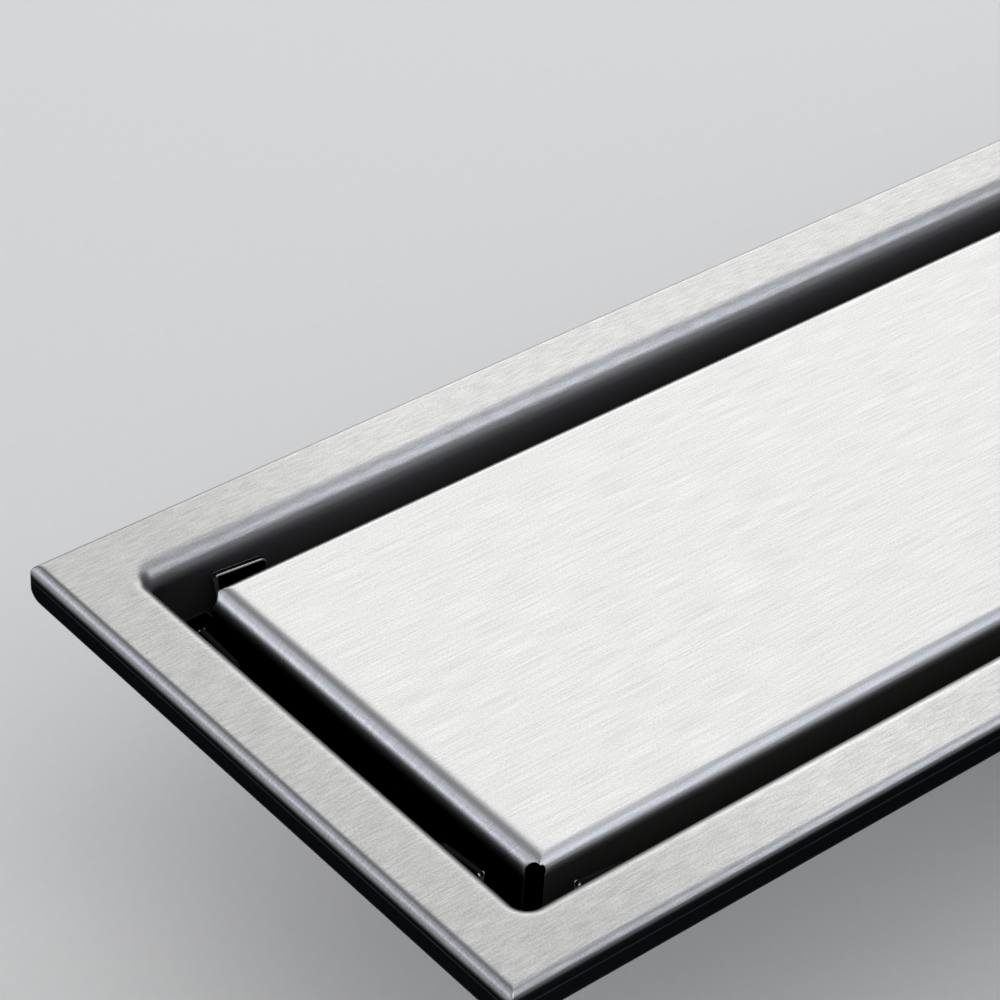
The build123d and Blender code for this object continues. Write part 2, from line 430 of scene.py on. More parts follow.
class PieceMesh:
    """Collects the corners, faces and painted values of one piece, in millimetres."""

    def __init__(self) -> None:
        """Starts with nothing."""
        self.points: list[Point] = []
        self.sheet: list[Plan] = []
        self.values: dict[str, list[float]] = {name: [] for name in PAINTED}
        self.faces: list[list[int]] = []
        self.paint: list[dict[str, float]] = []

    def row(
        self, points: Sequence[Point], sheet: Sequence[Plan] | None = None, **values: Painted
    ) -> list[int]:
        """Adds a row of corners.

        Args:
            points: Where the corners are.
            sheet: Where they were on the flat sheet, or nothing for their own plan.
            values: The painted values, one for the whole row or one for each corner.

        Returns:
            The corners' numbers.
        """
        first = len(self.points)
        self.points.extend(points)
        self.sheet.extend(sheet or [(x, y) for x, y, _ in points])
        for name, kept in self.values.items():
            value = values.get(name, 0.0)
            kept.extend([value] * len(points) if isinstance(value, float) else value)
        return list(range(first, len(self.points)))

    def bridge(self, rows: Sequence[list[int]], closed: bool = True, **paint: float) -> None:
        """Joins each row to the next with a strip of faces.

        Args:
            rows: Rows with as many corners each.
            closed: Whether each row runs round to its own start.
            paint: Painted values of the strip's own, instead of its corners'.
        """
        for first, second in zip(rows, rows[1:]):
            count = len(first)
            for i in range(count if closed else count - 1):
                j = (i + 1) % count
                self.fill([first[i], first[j], second[j], second[i]], **paint)

    def fill(self, loop: list[int], **paint: float) -> None:
        """Closes a loop of corners with one face."""
        self.faces.append(loop)
        self.paint.append(paint)

    def to_object(self, name: str) -> Piece:
        """Turns the collected faces into an object in the scene, with its faces pointing outwards.

        Args:
            name: The piece's name.

        Returns:
            The new object.
        """
        mesh = bpy.data.meshes.new(name)
        mesh.from_pydata([Vector(p) * MM for p in self.points], [], self.faces)
        flat = mesh.uv_layers.new(name=SHEET_MAP)
        flat.data.foreach_set("uv", [c * MM for face in self.faces for i in face for c in self.sheet[i]])
        for label, kept in self.values.items():
            painted = [paint.get(label, kept[i]) for face, paint in zip(self.faces, self.paint) for i in face]
            mesh.attributes.new(label, "FLOAT", "CORNER").data.foreach_set("value", painted)
        work = bmesh.new()
        work.from_mesh(mesh)
        bmesh.ops.recalc_face_normals(work, faces=work.faces)
        work.to_mesh(mesh)
        work.free()
        return show(name, mesh)


def show(name: str, mesh: bpy.types.Mesh) -> Piece:
    """Puts a mesh in the scene, smooth but for its creases.

    Args:
        name: The object's name.
        mesh: Its mesh, with its place in it.

    Returns:
        The new object.
    """
    smooth(mesh)
    made = bpy.data.objects.new(name, mesh)
    bpy.context.scene.collection.objects.link(made)
    return made


def smooth(mesh: bpy.types.Mesh) -> None:
    """Shades a mesh smooth but for its creases.

    Args:
        mesh: The mesh.
    """
    mesh.polygons.foreach_set("use_smooth", [True] * len(mesh.polygons))
    mesh.set_sharp_from_angle(angle=CREASE)
    mesh.update()


def settle(made: Piece) -> Piece:
    """Turns an object's modifiers into a plain mesh and takes them off.

    Args:
        made: The object.

    Returns:
        The same object.
    """
    graph = bpy.context.evaluated_depsgraph_get()
    shaped = made.evaluated_get(graph)
    mesh = bpy.data.meshes.new_from_object(shaped, preserve_all_data_layers=True, depsgraph=graph)
    made.modifiers.clear()
    made.data = mesh
    smooth(mesh)
    return made


def round_edges(
    made: Piece, width: float, angle: float, bare: Callable[[Vector], float]
) -> Piece:
    """Rounds the sharp edges of an object a little, and paints the new faces with the bright edge colour,
    partly wear and partly painted glint.

    Args:
        made: The object, with one material.
        width: How wide the rounding is, in millimetres.
        angle: The least angle of an edge that counts as sharp, in degrees.
        bare: Gives the painted value of a new face from its middle, in millimetres.

    Returns:
        The same object.
    """
    finish = next(material for material in made.data.materials if material)
    made.data.materials.clear()
    for _ in range(2):
        made.data.materials.append(finish)
    made.data.polygons.foreach_set("material_index", [0] * len(made.data.polygons))
    rounding = made.modifiers.new("rounding", "BEVEL")
    rounding.width = width * MM
    rounding.segments = ROUNDING_STEPS
    rounding.limit_method = "ANGLE"
    rounding.angle_limit = math.radians(angle)
    rounding.use_clamp_overlap = False
    rounding.material = 1
    settle(made)
    edge = made.data.attributes["edge"].data
    for face in made.data.polygons:
        if face.material_index:
            face.material_index = 0
            for corner in face.loop_indices:
                edge[corner].value = bare(face.center / MM)
    made.data.materials.pop(index=1)
    return made


def run_tree(made: Piece, tree: Tree, inputs: dict[str, object]) -> Piece:
    """Runs a geometry tree on an object and keeps the result as its mesh.

    Args:
        made: The object.
        tree: The geometry tree.
        inputs: What each named input of the tree gets.

    Returns:
        The same object.
    """
    modifier = made.modifiers.new(tree.name, "NODES")
    modifier.node_group = tree
    for item in tree.interface.items_tree:
        if item.in_out == "INPUT" and item.name in inputs:
            modifier[item.identifier] = inputs[item.name]
    return settle(made)


def hand_over(made: Piece, slot: Slot, *nodes: str) -> None:
    """Makes a finished piece ride on the drain and stand for its nodes.

    Args:
        made: The piece.
        slot: The record's slot of its finish; not used.
        nodes: The nodes that it stands for, if any.
    """
    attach(made, BODY)
    if nodes:
        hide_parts(*nodes)
    LOG.info("%s: %d faces, stands for %s", made.name, len(made.data.polygons), ", ".join(nodes) or "nothing")


@dataclass(frozen=True)
class LoopPlan:
    """How the corners of a closed loop round the drain are spread."""

    corner_steps: int
    near: tuple[float, ...]
    middle: int = 9

    def shares(self, length: float) -> list[float]:
        """Lays out the places along one straight side.

        Args:
            length: The side's length.

        Returns:
            The places, as shares of the length.
        """
        start = [distance / length for distance in self.near]
        last = start[-1] if start else 0.0
        step = (1.0 - 2.0 * last) / (self.middle + 1)
        between = [last + step * (i + 1) for i in range(self.middle)]
        return start + between + [1.0 - share for share in reversed(start)]

    def loop(self, half_x: float, half_y: float, radius: float) -> list[Plan]:
        """Lays out a rectangle with rounded corners, from the right side round to the left.

        Args:
            half_x: Half its length.
            half_y: Half its width.
            radius: The radius of its corners.

        Returns:
            The places in plan.
        """
        rounds = []
        for turn, (along, across) in enumerate(((1, 1), (-1, 1), (-1, -1), (1, -1))):
            centre = Vector((along * (half_x - radius), across * (half_y - radius)))
            angles = [math.radians(90 * (turn + i / self.corner_steps)) for i in range(self.corner_steps + 1)]
            rounds.append([centre + Vector((math.cos(a), math.sin(a))) * radius for a in angles])
        places: list[Plan] = []
        for this, following in zip(rounds, rounds[1:] + rounds[:1]):
            start, end = this[-1], following[0]
            side = [start.lerp(end, share) for share in self.shares((end - start).length)]
            places.extend((p.x, p.y) for p in this + side)
        return places

    def middles(self) -> tuple[int, int]:
        """Finds the corners half way along the two long sides.

        Returns:
            Their numbers, the back side's first.
        """
        count = self.corner_steps + 1 + 2 * len(self.near) + self.middle
        half = self.corner_steps + 1 + len(self.near) + self.middle // 2
        return half, 2 * count + half


@dataclass(frozen=True)
class SheetRow:
    """One row of corners round a folded sheet, by where it lies in the sheet's section."""

    offset: float
    height: float
    radius: float
    unfolded: float
    level: Level = Level.FLAT
    # Painted values: mill is the unbrushed back; shade, skirt and end_skirt are painted shade and dark
    # reflection; edge is the bright edge colour, partly painted highlight.
    mill: float = 0.0
    shade: float = 0.0
    skirt: float = 0.0
    end_skirt: float = 0.0
    edge: float = 0.0


def ramp(stops: Sequence[Plan], value: float) -> float:
    """Reads a value off straight lines between a few stops.

    Args:
        stops: Where each stop is and what it gives, in order.
        value: Where to read.

    Returns:
        The value there, or that of the nearest stop outside them.
    """
    for (low, first), (high, last) in zip(stops, stops[1:]):
        if value <= high:
            return first + (last - first) * max(value - low, 0.0) / (high - low)
    return stops[-1][1]


def bend(centre: Plan, radius: float, start: float, stop: float, steps: int) -> list[tuple[float, ...]]:
    """Lays out a bend in a sheet's section.

    Args:
        centre: The bend's centre, as offset and height.
        radius: Its radius.
        start: The angle of its start in degrees, where 0 is straight up and 90 is inwards.
        stop: The angle of its end.
        steps: How many flats it is made of.

    Returns:
        Offset, height and angle in radians of each row.
    """
    angles = [math.radians(start + (stop - start) * i / steps) for i in range(steps + 1)]
    return [(centre[0] + radius * math.sin(a), centre[1] + radius * math.cos(a), a) for a in angles]


@dataclass
class ChannelBody:
    """The pressed channel with its folded rim, in one sheet."""

    sheet: float = 0.8
    flange: float = 8.8
    skirt_depth: float = 4.4
    skirt_square_end: float = 2.7
    rim_bend: float = 1.2
    wall_bend: float = 2.5
    corner_radius: float = 1.4
    rim_corner: float = 0.2
    corner_steps: int = 10
    least_radius: float = 0.1
    skirt_steps: int = 8
    floor_bend: float = 1.0
    end_depth: float = 13.0
    mid_depth: float = 17.2
    hole_radius: float = 24.5
    hole_steps: int = 96
    burr: float = 0.12
    flat_margin: float = 0.25
    bend_steps: int = 18
    floor_steps: int = 6
    under_steps: int = 8
    inner_steps: int = 4
    skirt_edge_width: float = 0.3
    inner_skirt_flat: Plan = (0.5, 0.6)
    # How much painted shade and dark reflection each bend gets, by its angle in degrees: the rim's along the
    # sides and at the ends, then the mouth's. The walls follow, by the depth below their bend, painted darker
    # further down.
    side_shades: tuple[Plan, ...] = ((56.0, 0.0), (62.0, 0.45), (68.0, 0.9), (76.0, 1.0))
    end_shades: tuple[Plan, ...] = ((44.0, 0.0), (60.0, 0.10), (72.0, 0.14), (83.0, 0.45), (90.0, 0.75))
    mouth_shades: tuple[Plan, ...] = ((50.0, 0.0), (66.0, 0.35), (90.0, 0.9))
    wall_shades: tuple[Plan, ...] = (
        (0.25, 0.2), (0.6, 0.39), (1.2, 0.52), (2.2, 0.62), (4.5, 0.75), (8.0, 0.85),
    )
    # Painted shade: the walls are darkened towards the channel's ends, fading out over the reach.
    corner_painted_shade: float = 0.9
    painted_shade_reach: float = 30.0
    # Painted brightness along the skirt's lower edge: partly a polished burr, partly painted highlight.
    skirt_edge_wear_and_glint: float = 0.20
    fade: float = 0.35
    # A painted reflection: a faint lighter hairline across the skirt, this far below the bend.
    reflection_line_drop: float = 0.85
    reflection_line_highlight: float = 0.08
    finish: SteelFinish = SteelFinish(
        Slot.CHANNEL,
        bright=(0.703, 0.700, 0.689),
        roughness=0.31,
        line_depth=0.27,
        lines_along=400.0,
        cloud_per_metre=300.0,
        cloud_depth=0.055,
        # The channel's ends get painted shade.
        end_shade_level=0.78,
        # Painted shade on the walls and floor inside the channel.
        inside=(0.31, 0.31, 0.318),
        inside_roughness=0.8,
    )
    half_length: float = field(init=False)
    half_width: float = field(init=False)
    top: float = field(init=False)
    plan: LoopPlan = field(init=False)

    def __post_init__(self) -> None:
        """Takes the rim's size from the frame."""
        _, high = extent("channel_body")
        self.half_length, self.half_width, self.top = high
        reach = self.skirt_depth - self.skirt_square_end
        first = math.acos(1.0 - self.rim_corner / reach)
        angles = [first + (math.pi / 2 - first) * (i + 1) / self.skirt_steps for i in range(self.skirt_steps)]
        near = [reach * (1.0 - math.cos(a)) - self.rim_corner for a in angles]
        self.plan = LoopPlan(self.corner_steps, tuple(near))

    def height(self, row: SheetRow, x: float, y: float) -> float:
        """Gives the height of one corner of a row.

        Args:
            row: The row.
            x: The corner's place along the drain.
            y: Its place across the drain.

        Returns:
            The height in the drain's frame.
        """
        opening = self.half_length - self.flange
        fall = self.mid_depth - self.end_depth
        if row.level is Level.FLOOR:
            return row.height + fall * abs(x) / opening
        if row.level is Level.UNDERSIDE:
            return row.height + fall * abs(x) / (opening + self.sheet)
        if row.level is Level.SKIRT:
            reach = self.skirt_depth - self.skirt_square_end
            away = max(self.half_length - abs(x), self.half_width - abs(y))
            if away < reach:
                return row.height + reach - math.sqrt(reach**2 - (reach - away) ** 2)
        return row.height

    def top_rows(self) -> list[SheetRow]:
        """Lays out the rows from the skirt's lower edge over the rim and down to the floor.

        Returns:
            The rows in order.
        """
        low = self.top - self.skirt_depth
        fold = self.rim_bend
        mouth = self.flange - self.wall_bend
        corner = self.rim_corner
        unfold = fold - fold * math.pi / 2
        foot = unfold - (self.skirt_depth - fold)
        # The skirt itself is painted near-black, a painted dark reflection.
        dark = {"skirt": 1.0, "end_skirt": 1.0}
        rows = [
            # The lower edge is painted bright, partly painted highlight.
            SheetRow(self.burr, low, corner, foot, Level.SKIRT, edge=self.skirt_edge_wear_and_glint, **dark),
            SheetRow(0.0, low + self.burr, corner, foot, Level.SKIRT, edge=self.skirt_edge_wear_and_glint, **dark),
            SheetRow(0.0, low + self.skirt_edge_width, corner, foot, Level.SKIRT, **dark),
        ]
        # Painted reflection: a faint lighter hairline along the skirt.
        line = self.top - fold - self.reflection_line_drop
        line_flat = unfold - self.reflection_line_drop
        for rise, edge in ((-self.burr, 0.0), (0.0, self.reflection_line_highlight), (self.burr, 0.0)):
            rows.append(SheetRow(0.0, line + rise, corner, line_flat + rise, edge=edge, **dark))
        # The near-black paint fades in over this distance below the rim's bend.
        rows.append(SheetRow(0.0, self.top - fold - self.fade, corner, unfold - self.fade, **dark))
        for offset, height, angle in bend((fold, self.top - fold), fold, -90, 0, self.bend_steps):
            # The rim's bend goes over into painted dark reflection towards the skirt.
            side, end = (ramp(stops, -math.degrees(angle)) for stops in (self.side_shades, self.end_shades))
            rows.append(SheetRow(offset, height, corner, fold + fold * angle, skirt=side, end_skirt=end))
        for offset in (fold + self.flat_margin, mouth - self.flat_margin):
            radius = corner if offset < mouth / 2 else self.corner_radius + self.flange - offset
            rows.append(SheetRow(offset, self.top, radius, offset))
        centre = (mouth, self.top - self.wall_bend)
        for offset, height, angle in bend(centre, self.wall_bend, 0, 90, self.bend_steps):
            radius = self.corner_radius + self.flange - offset
            shade = ramp(self.mouth_shades, math.degrees(angle))
            rows.append(SheetRow(offset, height, radius, mouth + self.wall_bend * angle, shade=shade))
        wall_end = mouth + self.wall_bend * math.pi / 2
        # Painted shade: the walls and the floor of the channel take the inside colour, and more of the
        # near-black with depth.
        for drop, gloom in self.wall_shades:
            height = self.top - self.wall_bend - drop
            dim = {"shade": 1.0, "skirt": gloom, "end_skirt": gloom}
            rows.append(SheetRow(self.flange, height, self.corner_radius, wall_end + drop, **dim))
        _, gloom = self.wall_shades[-1]
        dim = {"shade": 1.0, "skirt": gloom, "end_skirt": gloom}
        centre = (self.flange + self.floor_bend, self.top - self.mid_depth + self.floor_bend)
        for offset, height, _ in bend(centre, self.floor_bend, -90, -180, self.floor_steps):
            radius = self.corner_radius - (offset - self.flange)
            rows.append(SheetRow(offset, height, radius, offset, Level.FLOOR, **dim))
        return rows

    def under_rows(self) -> list[SheetRow]:
        """Lays out the rows from the underside of the floor up the walls and down the inside of the skirt.

        Returns:
            The rows in order.
        """
        under = self.top - self.mid_depth - self.sheet
        wall = self.flange - self.sheet
        turn = self.floor_bend + self.sheet
        mouth = self.flange - self.wall_bend
        inner = self.rim_bend - self.sheet
        outer_corner = self.corner_radius + self.sheet
        low = self.top - self.skirt_depth
        rows = []
        for offset, height, _ in bend((wall + turn, under + turn), turn, -180, -90, self.under_steps):
            radius = outer_corner - (offset - wall)
            rows.append(SheetRow(offset, height, radius, offset, Level.UNDERSIDE, mill=1.0))
        centre = (mouth, self.top - self.wall_bend)
        for offset, height, _ in bend(centre, self.wall_bend - self.sheet, 90, 0, self.under_steps):
            rows.append(SheetRow(offset, height, outer_corner + wall - offset, height, mill=1.0))
        centre = (self.rim_bend, self.top - self.rim_bend)
        for offset, height, _ in bend(centre, inner, 0, -90, self.inner_steps):
            rows.append(SheetRow(offset, height, self.burr, offset, mill=1.0))
        first, last = self.inner_skirt_flat
        rows.append(SheetRow(self.sheet, low + self.burr, self.burr, first, Level.SKIRT, mill=1.0))
        rows.append(SheetRow(self.sheet - self.burr, low, self.burr, last, Level.SKIRT, mill=1.0, edge=1.0))
        return rows

    def lay(self, mesh: PieceMesh, row: SheetRow) -> list[int]:
        """Adds one row of corners to the mesh.

        Args:
            mesh: The mesh.
            row: The row.

        Returns:
            The corners' numbers.
        """
        places = self.plan.loop(self.half_length - row.offset, self.half_width - row.offset, row.radius)
        grown = max(row.radius + row.offset - row.unfolded, self.least_radius)
        flat = self.plan.loop(self.half_length - row.unfolded, self.half_width - row.unfolded, grown)
        points = [(x, y, self.height(row, x, y)) for x, y in places]
        # Painted shade: the walls darker near the channel's ends, on top of the rim's and walls' own painted
        # shade.
        skirt = []
        for x, y in places:
            at_end = self.half_length - abs(x) < self.half_width - abs(y)
            to_end = max(self.half_length - self.flange - abs(x), 0.0)
            gloom = self.corner_painted_shade * row.shade**2 * max(1.0 - to_end / self.painted_shade_reach, 0.0)
            skirt.append(max(row.end_skirt if at_end else row.skirt, gloom))
        return mesh.row(points, flat, mill=row.mill, shade=row.shade, skirt=skirt, edge=row.edge)

    def hole(self, mesh: PieceMesh, row: SheetRow) -> list[int]:
        """Adds the edge of the outlet's hole on one face of the floor.

        Args:
            mesh: The mesh.
            row: The row of that face that has its paint and level.

        Returns:
            The corners' numbers.
        """
        angles = [2 * math.pi * i / self.hole_steps for i in range(self.hole_steps)]
        plan = [(self.hole_radius * math.cos(a), self.hole_radius * math.sin(a)) for a in angles]
        points = [(x, y, self.height(row, x, y)) for x, y in plan]
        return mesh.row(points, mill=row.mill, shade=row.shade, skirt=row.skirt)

    def halves(self, mesh: PieceMesh, ring: list[int], hole: list[int]) -> None:
        """Closes the floor between its bend and the hole, as two flat halves that meet on the middle line.

        Args:
            mesh: The mesh.
            ring: The last row of the floor's bend.
            hole: The edge of the hole.
        """
        back, front = self.plan.middles()
        quarter = self.hole_steps // 4
        left_hole = hole[quarter : 3 * quarter + 1]
        right_hole = hole[3 * quarter :] + hole[: quarter + 1]
        mesh.fill(ring[back : front + 1] + left_hole[::-1])
        mesh.fill(ring[front:] + ring[: back + 1] + right_hole[::-1])

    def build(self) -> Piece:
        """Builds the channel and hands it over.

        Returns:
            The finished piece.
        """
        mesh = PieceMesh()
        top_rows, under_rows = self.top_rows(), self.under_rows()
        upper = [self.lay(mesh, row) for row in top_rows]
        lower = [self.lay(mesh, row) for row in under_rows]
        mesh.bridge(upper)
        mesh.bridge(lower + upper[:1])
        upper_hole = self.hole(mesh, top_rows[-1])
        lower_hole = self.hole(mesh, under_rows[0])
        self.halves(mesh, upper[-1], upper_hole)
        self.halves(mesh, lower[0], lower_hole)
        mesh.bridge([upper_hole, lower_hole])
        made = mesh.to_object("channel_sheet")
        made.data.materials.append(self.finish.material())
        hand_over(made, Slot.CHANNEL, "channel_body")
        return made


ROD_SIDES = 40
ROD_LYING = (0.0, math.pi / 2, 0.0)
ROD_LOWER = -0.01
DRILL_SIDES = 36
RIPPLE_SEGMENTS, RIPPLE_RINGS, RIPPLE_SEED = 10, 6, 7
RIPPLE_SHAPE = (0.55, 1.0, 1.0)
RIPPLE_LEAST, RIPPLE_MOST = (0.92, 0.86, 0.86), (1.08, 1.06, 1.06)


def shaping_group(name: str, sizes: Sequence[str], counts: Sequence[str] = ()) -> Started:
    """Starts a geometry tree that shapes a piece and gives it its material.

    Args:
        name: The tree's name.
        sizes: The names of the inputs that are measures.
        counts: The names of the inputs that are whole numbers.

    Returns:
        What node_group gives.
    """
    kinds = {**dict.fromkeys(sizes, FLOAT), **dict.fromkeys(counts, WHOLE)}
    inputs = {"Geometry": GEOMETRY, **kinds, "Material": MATERIAL}
    return node_group(name, "GeometryNodeTree", inputs, {"Geometry": GEOMETRY})


def finish_tree(desk: NodeDesk, shape: Value, material: Value, out: bpy.types.Node) -> Tree:
    """Ends a geometry tree: real faces, one material.

    Args:
        desk: The tree's desk.
        shape: The geometry.
        material: The material.
        out: The tree's output node.

    Returns:
        The tree.
    """
    real = desk.give("GeometryNodeRealizeInstances", {0: shape})
    dressed = desk.give("GeometryNodeSetMaterial", {"Geometry": real, "Material": material})
    desk.feed(out.inputs["Geometry"], dressed)
    return desk.tree


def cut_tree(desk: NodeDesk, given: dict[str, Socket], cutters: Value, out: bpy.types.Node) -> Tree:
    """Ends a geometry tree that cuts shapes out of its piece.

    Args:
        desk: The tree's desk.
        given: The sockets that the tree's inputs give.
        cutters: What is cut out.
        out: The tree's output node.

    Returns:
        The tree.
    """
    both = {"Mesh 1": given["Geometry"], "Mesh 2": cutters}
    cut = desk.give("GeometryNodeMeshBoolean", both, operation="DIFFERENCE", solver="EXACT")
    return finish_tree(desk, cut, given["Material"], out)


def corner_slot_tree() -> Tree:
    """Makes the tree that cuts the open slots where the folds of a cover meet.

    Returns:
        The tree.
    """
    slot_sizes = ("Slot Width", "Slot Skew", "Slot Top", "Slot Bottom")
    desk, given, out = shaping_group("corner_slots", ("Length", "Width", "Shift", *slot_sizes, "Reach"))
    radius = desk.sum("MULTIPLY", given["Slot Width"], 0.5)
    arch = desk.sum("SUBTRACT", given["Slot Top"], radius)
    rod = {"Vertices": ROD_SIDES, "Radius": radius, "Depth": given["Reach"]}
    lying = desk.moved(desk.give("GeometryNodeMeshCylinder", rod), Rotation=ROD_LYING)
    height = desk.place()[2]
    raised = desk.sum("DIVIDE", desk.sum("MAXIMUM", height, 0.0), radius)
    lean = desk.sum("MULTIPLY", desk.sum("MULTIPLY", raised, given["Slot Skew"]), -1.0)
    lower = desk.sum("LESS_THAN", height, desk.sum("MULTIPLY", radius, ROD_LOWER))
    pull = desk.sum("MULTIPLY", lower, desk.sum("SUBTRACT", given["Slot Bottom"], arch))
    stretch = {"Geometry": lying, "Offset": desk.joined(y=lean, z=pull)}
    slot = desk.moved(desk.give("GeometryNodeSetPosition", stretch), Translation=desk.joined(z=arch))
    corners = {"Size X": given["Length"], "Size Y": given["Width"], "Vertices X": 2, "Vertices Y": 2}
    grid = desk.give("GeometryNodeMeshGrid", corners)
    grid = desk.moved(grid, Translation=desk.joined(y=given["Shift"]))
    along, across, _ = desk.place()
    side = desk.sum("SIGN", desk.sum("MULTIPLY", along, across))
    about = desk.sum("MULTIPLY", desk.sum("GREATER_THAN", across, 0.0), math.pi)
    turn = desk.joined(z=desk.sum("MULTIPLY_ADD", side, math.pi / 4, about))
    placed = {"Points": grid, "Instance": slot, "Rotation": turn}
    cutters = desk.give("GeometryNodeInstanceOnPoints", placed)
    cutters = desk.give("GeometryNodeRealizeInstances", {0: cutters})
    bare = {"Geometry": cutters, "Name": "mill", "Value": 1.0}
    cutters = desk.give("GeometryNodeStoreNamedAttribute", bare, data_type="FLOAT", domain="CORNER")
    return cut_tree(desk, given, cutters, out)


def weld_tree() -> Tree:
    """Makes the tree that lays a rippled weld bead round the top of the outlet tube.

    Returns:
        The tree.
    """
    desk, given, out = shaping_group("weld_bead", ("Radius", "Height", "Slope", "Bead"), ("Ripples",))
    ring = {"Resolution": given["Ripples"], "Radius": given["Radius"]}
    circle = desk.give("GeometryNodeCurvePrimitiveCircle", ring)
    rise = desk.sum("MULTIPLY", desk.sum("ABSOLUTE", desk.place()[0]), given["Slope"])
    lift = desk.joined(z=desk.sum("ADD", rise, given["Height"]))
    raised = desk.give("GeometryNodeSetPosition", {"Geometry": circle, "Offset": lift})
    points = desk.add("GeometryNodeCurveToPoints", {"Curve": raised}, mode="EVALUATED").outputs
    drop = {"Segments": RIPPLE_SEGMENTS, "Rings": RIPPLE_RINGS, "Radius": given["Bead"]}
    spread = {"Min": RIPPLE_LEAST, "Max": RIPPLE_MOST, "Seed": RIPPLE_SEED}
    uneven = desk.give("FunctionNodeRandomValue", spread, data_type="FLOAT_VECTOR")
    aligned = desk.give("FunctionNodeAlignRotationToVector", {"Vector": points["Tangent"]}, axis="X")
    placed = {
        "Points": points["Points"],
        "Instance": desk.give("GeometryNodeMeshUVSphere", drop),
        "Rotation": aligned,
        "Scale": desk.times(RIPPLE_SHAPE, uneven),
    }
    return finish_tree(desk, desk.give("GeometryNodeInstanceOnPoints", placed), given["Material"], out)


def perforation_tree() -> Tree:
    """Makes the tree that punches a ring of round holes through a floor.

    Returns:
        The tree.
    """
    sizes = ("Ring Radius", "Hole Radius", "Height", "Depth")
    desk, given, out = shaping_group("perforations", sizes, ("Holes",))
    ring = desk.give("GeometryNodeMeshCircle", {"Vertices": given["Holes"], "Radius": given["Ring Radius"]})
    ring = desk.moved(ring, Translation=desk.joined(z=given["Height"]))
    bore = {"Vertices": DRILL_SIDES, "Radius": given["Hole Radius"], "Depth": given["Depth"]}
    placed = {"Points": ring, "Instance": desk.give("GeometryNodeMeshCylinder", bore)}
    drills = desk.give("GeometryNodeInstanceOnPoints", placed)
    drills = desk.give("GeometryNodeRealizeInstances", {0: drills})
    return cut_tree(desk, given, drills, out)


